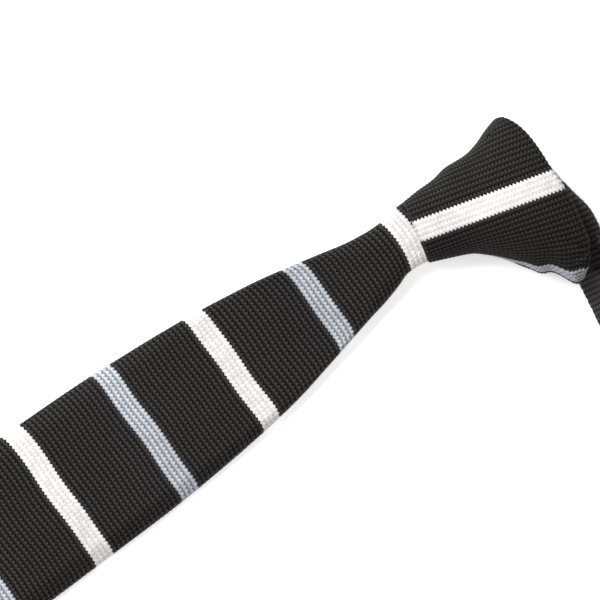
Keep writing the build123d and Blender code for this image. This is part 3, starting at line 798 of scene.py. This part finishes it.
def over_pass():
    """The pass that comes up over the left leg and closes the knot's mouth."""
    columns = (HUMP_TOP_SIDE - HUMP_LOW_SIDE) / KNOT_COURSE
    u = fine(39.75 - columns, 39.75, 4)
    v = fine(0, 28, 4)
    b = HUMP_TOP_SIDE - (u - u[0]) * KNOT_COURSE
    section_b, section_z, arc, _, _ = knot_section(46.0)
    upper = section_z > TOP(46.0) * 0.5
    order = np.argsort(section_b[upper])
    high = np.interp(b, section_b[upper][order], section_z[upper][order]) - 2.2 * ROLL
    low = 1.0 + 7.0 * smooth((b - 12.0) / 10.0)
    angle = (math.pi / 2 - v / 28 * math.pi)[:, None]
    reach = HUMP(b)[None, :]
    stations = np.arange(20.0, 56.0)
    inside_band = np.interp(b, LEFT_SIDE(stations) - 1.6, stations)[None, :]
    start = np.maximum(reach - HUMP_REACH, inside_band)
    c, sine = np.clip(np.cos(angle), 0, 1), np.sin(angle)
    crease = 0.35 * np.sin(b / 3.1 + 0.8)[None, :] * c
    a = start + (reach - start) * c**0.8 + crease
    z = (high + low) / 2 + (high - low) / 2 * np.sign(sine) * np.abs(sine) ** 0.8
    points = np.stack(np.broadcast_arrays(a, b[None, :], z), -1)
    outward = normals_of(points)
    middle = outward[len(v) // 2, len(u) // 2]
    outward = outward * np.sign(middle[0])
    return knot_cloth("knot_over_knit", points, outward, u, v, 0.4, flip=middle[0] < 0)


# ---- neck loop ----
NECK_WALES, NECK_FRONT = 20, 10
NECK_FIRST_COURSE = 24.0       # plain black where the right leg leaves the knot
JOIN_ANGLE = math.radians(315)
LOOP_CENTRE_WORLD = MOUNTS["neck_loop"]["pos_m"]


def neck_path():
    """Plan of the neck band's lower edge, in the knot's frame, from inside the knot along the right
    leg, round the loop and back along the left leg; with its distance from the start."""
    dx = (LOOP_CENTRE_WORLD[0] - EXIT[0]) / MM
    dy = (LOOP_CENTRE_WORLD[1] - EXIT[1]) / MM
    ca = dx * math.cos(KNOT_TURN) + dy * math.sin(KNOT_TURN)
    cb = -dx * math.sin(KNOT_TURN) + dy * math.cos(KNOT_TURN)
    r = NECK_RADIUS
    right = [(44.5, -24.0), (44.6, -31.0), (44.9, -38.0), (45.7, -50.0), (46.6, -64.0), (ca - r, cb)]
    arc = [(ca + r * math.cos(t), cb + r * math.sin(t))
           for t in np.radians(np.arange(192, 445, 6))]
    left = [(ca, cb + r), (ca - 16, cb + r + 0.2), (ca - 30, cb + r + 0.3), (58.5, cb + r + 4.0),
            (54.2, -27.0), (52.8, -18.0), (52.0, -8.0)]
    corners = np.array(right + arc + left)
    line = smooth_line(corners, 0.25)
    step = np.hypot(*np.diff(line, axis=0).T)
    return line, np.concatenate([[0], np.cumsum(step)])


def neck_band():
    """The neck loop: one knitted tube on its edge, made in three pieces."""
    line, run = neck_path()
    total = run[-1]
    high = NECK_HEIGHT - 0.6
    leans = curve_through([(0, 30), (18, 26), (32, 15), (60, 9), (120, 3), (200, -4), (300, 2),
                           (total, 0)])
    tops = curve_through([(0, 14.0), (12, 17.0), (24, 24.5), (36, high), (total - 40, high),
                          (total - 22, 22.0), (total, 20.0)])
    lows = curve_through([(0, 5.0), (14, 2.0), (24, 0.4), (total - 36, 0.4), (total - 20, 4.0),
                          (total, 5.0)])

    def at(u):
        s = (u - NECK_FIRST_COURSE) * COURSE
        x, y = (np.interp(s, run, line[:, i]) for i in (0, 1))
        ahead = unit(np.stack([np.interp(s + 1.0, run, line[:, i]) - np.interp(s - 1.0, run, line[:, i])
                               for i in (0, 1)], -1))
        inward = np.stack([-ahead[:, 1], ahead[:, 0]], -1)
        return s, x, y, inward

    def section(u):
        s = (u - NECK_FIRST_COURSE) * COURSE
        return (tops(s) - lows(s)) / 2, np.full(len(u), 2.7) + 1.2 * np.exp(-(s / 16.0) ** 2)

    def place(u, across, up):
        s, x, y, inward = at(u)
        lean = np.radians(leans(s) + 1.5 * np.sin(s / 21.0))
        half, _ = section(u)
        wide = half / np.cos(lean)
        h = (across / half[:, None]) * wide[:, None]
        sine, cosine = np.sin(lean)[:, None], np.cos(lean)[:, None]
        bow = 0.5 * np.sin(s / 15.0 + 0.7)[:, None] * (1 - (across / half[:, None]) ** 2)
        into = (h + wide[:, None]) * sine - (up - bow) * cosine
        z = lows(s)[:, None] + (h + wide[:, None]) * cosine + (up - bow) * sine
        a = x[:, None] + inward[:, :1] * into
        b = y[:, None] + inward[:, 1:] * into
        return knot_to_world(a, b, z)

    def nearest(a, b):
        return run[np.argmin(np.hypot(line[:, 0] - a, line[:, 1] - b))]

    centre_a, centre_b = line[:, 0].max() - NECK_RADIUS, line[np.argmax(line[:, 0]), 1]
    right_join = nearest(centre_a - NECK_RADIUS, centre_b)
    left_join = nearest(centre_a, centre_b + NECK_RADIUS)
    back_seam = nearest(centre_a + NECK_RADIUS * math.cos(JOIN_ANGLE),
                        centre_b + NECK_RADIUS * math.sin(JOIN_ANGLE))
    joins = [NECK_FIRST_COURSE, NECK_FIRST_COURSE + round(right_join / COURSE),
             NECK_FIRST_COURSE + round(left_join / COURSE), NECK_FIRST_COURSE + total / COURSE]
    columns = tube_columns(NECK_WALES, NECK_FRONT)
    right, back, left = (
        knit_tube(name, place, section, course_rows(first, last), columns, NECK_WALES)
        for name, first, last in zip(
            ("neck_leg_right_knit", "neck_back_knit", "neck_leg_left_knit"), joins, joins[1:]))
    knot_to_world(46, -42, 0)
    knot_to_world(46, centre_b + 1, 0)
    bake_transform(right)
    knot_to_world(60, -38, 0)
    knot_to_world(centre_a - 1, -38, 0)
    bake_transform(left)
    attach(back, "neck_back")
    declare(("neck_leg_right",))
    declare(("neck_band_cover", "neck_band_stay"))
    declare(("neck_leg_left",))
    neck_threads(place, right_join, left_join, back_seam)


# ---- threads, keeper loop and label ----
THREAD_RADIUS = 0.22
THREAD_SIDES = 6
SLIP_PITCH = 12.0              # distance between two slip stitches
HEM_PITCH = 4.0                # distance between two hem stitches


def sweep(lines, radius, sides):
    """Vertices and faces of closed round tubes along lines of points, all in metres."""
    verts, faces = [], []
    turn = np.arange(sides) / sides * 2 * np.pi
    for line in lines:
        line = np.asarray(line, float)
        ahead = unit(np.gradient(line, axis=0))
        aside = unit(np.cross(ahead, np.array([0.31, 0.42, 0.85])))
        above = np.cross(aside, ahead)
        step = np.concatenate([[0], np.cumsum(np.linalg.norm(np.diff(line, axis=0), axis=1))])
        swell = radius * (1 + 0.1 * np.cos(2 * turn[None, :] + step[:, None] / MM * 3.0))
        ring = (np.cos(turn)[None, :, None] * aside[:, None]
                + np.sin(turn)[None, :, None] * above[:, None])
        base = sum(len(v) for v in verts)
        verts.append((line[:, None] + ring * swell[..., None]).reshape(-1, 3))
        for i in range(len(line) - 1):
            for j in range(sides):
                k = (j + 1) % sides
                faces.append([base + i * sides + j, base + i * sides + k,
                              base + (i + 1) * sides + k, base + (i + 1) * sides + j])
        faces.append([base + j for j in range(sides)][::-1])
        faces.append([base + (len(line) - 1) * sides + j for j in range(sides)])
    return np.vstack(verts), faces


def sew(node, body, lines, material=THREAD, radius=THREAD_RADIUS):
    """Sewing thread along lines of points, which stands for a CAD node and rides on a body."""
    verts, faces = sweep([smooth_points(line, 4) for line in lines], radius * MM, THREAD_SIDES)
    thread = make_object(node + "_thread", verts, faces, None, material)
    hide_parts(node)
    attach(thread, body)


def under_blade(s, y):
    """Height of the front blade's underside."""
    _, thick = blade_section(np.array([course_at(s)]))
    return float(blade_height(s, y) - thick[0] / 2)


def under_tail(s, y):
    """Height of the tail's underside."""
    return float(tail_underside(s, y))


def zigzag_sides(turns, reach):
    """Turning points to both sides of a zigzag, in turn."""
    return np.where(np.arange(turns) % 2 == 0, -reach, reach)


def slip_lines(under, first, last, sway):
    """Small stitches that close an open seam."""
    count = int((last - first) / SLIP_PITCH)
    lines = []
    for i in range(count):
        s = first + (i + 0.5) * SLIP_PITCH
        low = under(s, 0.0)
        y = float(sway(s))
        shape = [(-0.8, -1.5, 0.8), (-0.6, -1.1, 0.24), (-0.2, -0.4, 0.1), (0.2, 0.4, 0.1),
                 (0.6, 1.1, 0.24), (0.8, 1.5, 0.8)]
        lines.append([blade_to_world(s + ds, y + dy, low + dz) for ds, dy, dz in shape])
    return lines


def hem_lines(under, half, distance):
    """A row of short stitches along the hem of a square end."""
    count = int((2 * half - 6) / HEM_PITCH)
    shape = [(-1.3, -0.3, 0.6), (-0.9, -0.2, 0.02), (0.0, 0.0, -0.08), (0.9, 0.2, 0.02), (1.3, 0.3, 0.6)]
    lines = []
    for i in range(count):
        y = (i - (count - 1) / 2) * HEM_PITCH
        low = under(distance, y) - HEM_STEP / 2
        lines.append([blade_to_world(distance + ds, y + dy, low + dz) for ds, dy, dz in shape])
    return lines


def tack_lines(under, distance):
    """A dense zigzag of thread, 8 mm long, that ends the open seam."""
    turns = 22
    ys = np.linspace(-4.0, 4.0, turns)
    return [[blade_to_world(distance + side, y, under(distance, y) + 0.02)
             for y, side in zip(ys, zigzag_sides(turns, 0.7))]]


def threads():
    seam_rest = HEM_DEPTH * 2      # the slip stitches stop this far before a square end
    tack_at = seam_rest - 1.0
    sew("front_blade_slip_stitches", "front_blade",
        slip_lines(under_blade, 40.0, FOLD - 4.0, BLADE_SWAY))
    sew("blade_end_slip_stitches", "blade_end",
        slip_lines(under_blade, FOLD + 8.0, BLADE_STOP - seam_rest, BLADE_SWAY))
    sew("tail_slip_stitches", "tail",
        slip_lines(under_tail, THROAT_STOP + 3.0, TAIL_STOP - seam_rest, lambda s: 0.0))
    sew("blade_end_hem_stitches", "blade_end",
        hem_lines(under_blade, BLADE_HALF, BLADE_STOP - HEM_DEPTH))
    sew("tail_hem_stitches", "tail", hem_lines(under_tail, TAIL_HALF, TAIL_STOP - HEM_DEPTH))
    sew("blade_end_bar_tack", "blade_end", tack_lines(under_blade, BLADE_STOP - tack_at))
    sew("tail_bar_tack", "tail", tack_lines(under_tail, TAIL_STOP - tack_at))


def ribbon(name, line, across, width, thick, material, edge=0.12):
    """A narrow strip with rounded edges along a line of points in metres, width across it."""
    line = smooth_points(line, 5)
    across = np.asarray(across, float)
    above = unit(np.cross(unit(np.gradient(line, axis=0)), across))
    count = max(int(width / 0.6), 8)
    side = np.linspace(-1, 1, count)
    top = np.stack([side * width / 2, np.sqrt(np.clip(1 - np.abs(side) ** 16, 0, 1)) * thick / 2], 1)
    section = np.vstack([top, top[::-1][1:-1] * [1, -1]])
    wave = edge * np.sin(np.arange(len(line)) * 0.9)[:, None]
    wave = wave * (np.abs(section[:, 0]) / width * 2)[None, :] ** 4
    points = (line[:, None] + across[None, None, :] * (section[:, 0][None, :] + wave)[..., None] * MM
              + above[:, None] * section[:, 1][None, :, None] * MM)
    rows, cols = points.shape[:2]
    faces = [[i * cols + j, (i + 1) * cols + j, (i + 1) * cols + k, i * cols + k]
             for i in range(rows - 1) for j, k in enumerate([*range(1, cols), 0])]
    for end in (0, rows - 1):
        for j in range(count - 1):
            a, b = end * cols + j, end * cols + j + 1
            c, d = (end * cols + k % cols for k in (cols - j, cols - j - 1))
            faces.append(list(dict.fromkeys((a, b, d, c))))
    return make_object(name, points, faces, None, material)


def keeper():
    """The loop on the blade's back that holds the tail, with a turned-out end stitched at each side."""
    half = 22.6
    at_side = under_blade(KEEPER_MIDDLE, half)
    at_end = under_blade(KEEPER_MIDDLE, half + 3.0)
    profile = [(half + 3.0, at_end - 0.35), (half + 1.4, at_side - 0.75), (half + 0.3, at_side - 1.0),
               (half, at_side - 1.6), (half - 0.6, 0.7), (half - 2.0, 0.4), (15.0, 0.35), (6.0, 0.42),
               (0.0, 0.38)]
    points = [(-y, z) for y, z in profile] + [(y, z) for y, z in profile[::-1][1:]]
    line = [blade_to_world(KEEPER_MIDDLE, y, z) for y, z in points]
    loop = ribbon("keeper_ribbon", line, (1, 0, 0), KEEPER_HALF * 2 - 0.4, 0.55, RIBBON)
    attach(loop, "front_blade")
    declare(("keeper_loop",))
    shape = [(-0.8, -1.2, 0.5), (-0.3, -0.4, -0.25), (0.3, 0.5, -0.1), (0.8, 1.4, 0.5)]
    y = half + 2.2
    lines = []
    for way in (-1, 1):
        for i in range(5):
            s = KEEPER_MIDDLE - 4.4 + 2.2 * i
            low = under_blade(s, y) - 0.75
            lines.append([blade_to_world(s + ds, way * (y + dy), low + dz) for ds, dy, dz in shape])
    sew("keeper_stitches", "front_blade", lines)


def care_label():
    """The blank label on the tail's back, stitched at both short ends."""
    half_length, width = 15.0, 18.0
    low = under_tail(LABEL_MIDDLE, 0.0) - 0.12
    distances = np.linspace(-half_length, half_length, 11)
    heights = low - 0.10 * np.cos(distances / half_length * math.pi / 2) - 0.03 * np.sin(distances)
    line = [blade_to_world(LABEL_MIDDLE + d, 0, z) for d, z in zip(distances, heights)]
    label = ribbon("care_label_ribbon", line, (0, 1, 0), width, 0.22, LABEL, edge=0.05)
    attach(label, "tail")
    declare(("care_label",))
    turns = 13
    ys = np.linspace(-7.2, 7.2, turns)
    depth = np.where(np.arange(turns) % 2 == 0, 0.12, -0.16)
    lines = [[blade_to_world(LABEL_MIDDLE + end * (half_length - 1.4), y, low - 0.06 + d)
              for y, d in zip(ys, depth)] for end in (-1, 1)]
    sew("care_label_stitches", "tail", lines, PALE_THREAD, 0.13)


def neck_threads(place, start, stop, join):
    """Slip stitches along the neck band's inner side, and the seam that joins its two lengths."""
    def at(s, across, up):
        course = np.array([s / COURSE + NECK_FIRST_COURSE])
        return place(course, np.array([[across]]), np.array([[up]]))[0, 0]

    shape = [(-1.5, -0.8, 0.7), (-1.1, -0.6, 0.1), (-0.4, -0.2, -0.06), (0.4, 0.2, -0.06),
             (1.1, 0.6, 0.1), (1.5, 0.8, 0.7)]
    lines = [[at(s + dx, dy, -1.35 + dz) for dy, dx, dz in shape]
             for s in np.arange(start + 6.0, stop - 4.0, SLIP_PITCH)]
    sew("neck_slip_stitches", "neck_back", lines)
    turns = 30
    heights = np.linspace(-12.5, 12.5, turns)
    sew("neck_join_stitches", "neck_back",
        [[at(join + side, height, -1.38) for height, side in zip(heights, zigzag_sides(turns, 1.0))]])


# ---- stage, light and camera ----
CAMERA_TURN = math.radians(-36)
CAMERA_HEIGHT = 3.0
VIEW_CENTRE = (-44.1, 4.5)     # from the knot's exit
VIEW_WIDTH = 200.0
SENSOR = 36.0
FLOOR_HALF = 3.0
WORLD_LIGHT = 0.24
LIGHTS = (                     # name, place from the knot's exit, width, power
    ("key", (-0.34, 0.99, 1.3), 0.8, 36.0),
    ("fill", (0.9, -0.2, 1.5), 1.2, 5.0))


def pale_floor():
    """A plain floor that glows a little, so that it stays pale under soft light."""
    n = Nodes("pale_floor")
    n.feed("Base Color", colour(0.93, 0.93, 0.93))
    n.feed("Roughness", 0.9)
    n.feed("Specular IOR Level", 0.0)
    n.feed("Emission Color", colour(1.0, 0.99, 0.985))
    n.feed("Emission Strength", 0.6)
    corners = np.array([(-1, -1, 0), (1, -1, 0), (1, 1, 0), (-1, 1, 0)]) * FLOOR_HALF
    make_object("floor", corners, [(0, 1, 2, 3)], None, n.material)


def stage():
    pale_floor()
    world = bpy.data.worlds.new("studio")
    world.use_nodes = True
    background = world.node_tree.nodes["Background"]
    background.inputs["Color"].default_value = colour(1.0, 1.0, 1.0)
    background.inputs["Strength"].default_value = WORLD_LIGHT
    bpy.context.scene.world = world
    target = Vector(EXIT)
    for name, place, width, power in LIGHTS:
        light = bpy.data.lights.new(name, "AREA")
        light.shape, light.size, light.energy = "SQUARE", width, power
        lamp = put_in_scene(name, light)
        lamp.location = target + Vector(place)
        lamp.rotation_euler = (target - lamp.location).to_track_quat("-Z", "Y").to_euler()
    scene = bpy.context.scene
    scene.view_settings.view_transform = "Standard"
    camera_data = bpy.data.cameras.new("camera")
    camera_data.sensor_width = SENSOR
    camera_data.lens = SENSOR * CAMERA_HEIGHT / (VIEW_WIDTH * MM)
    camera = put_in_scene("camera", camera_data)
    camera.location = (EXIT[0] + VIEW_CENTRE[0] * MM, EXIT[1] + VIEW_CENTRE[1] * MM,
                       CAMERA_HEIGHT + 0.010)
    camera.rotation_euler = (0, 0, CAMERA_TURN)
    scene.camera = camera


stage()
blades()
knot_pieces()
neck_band()
threads()
keeper()
care_label()
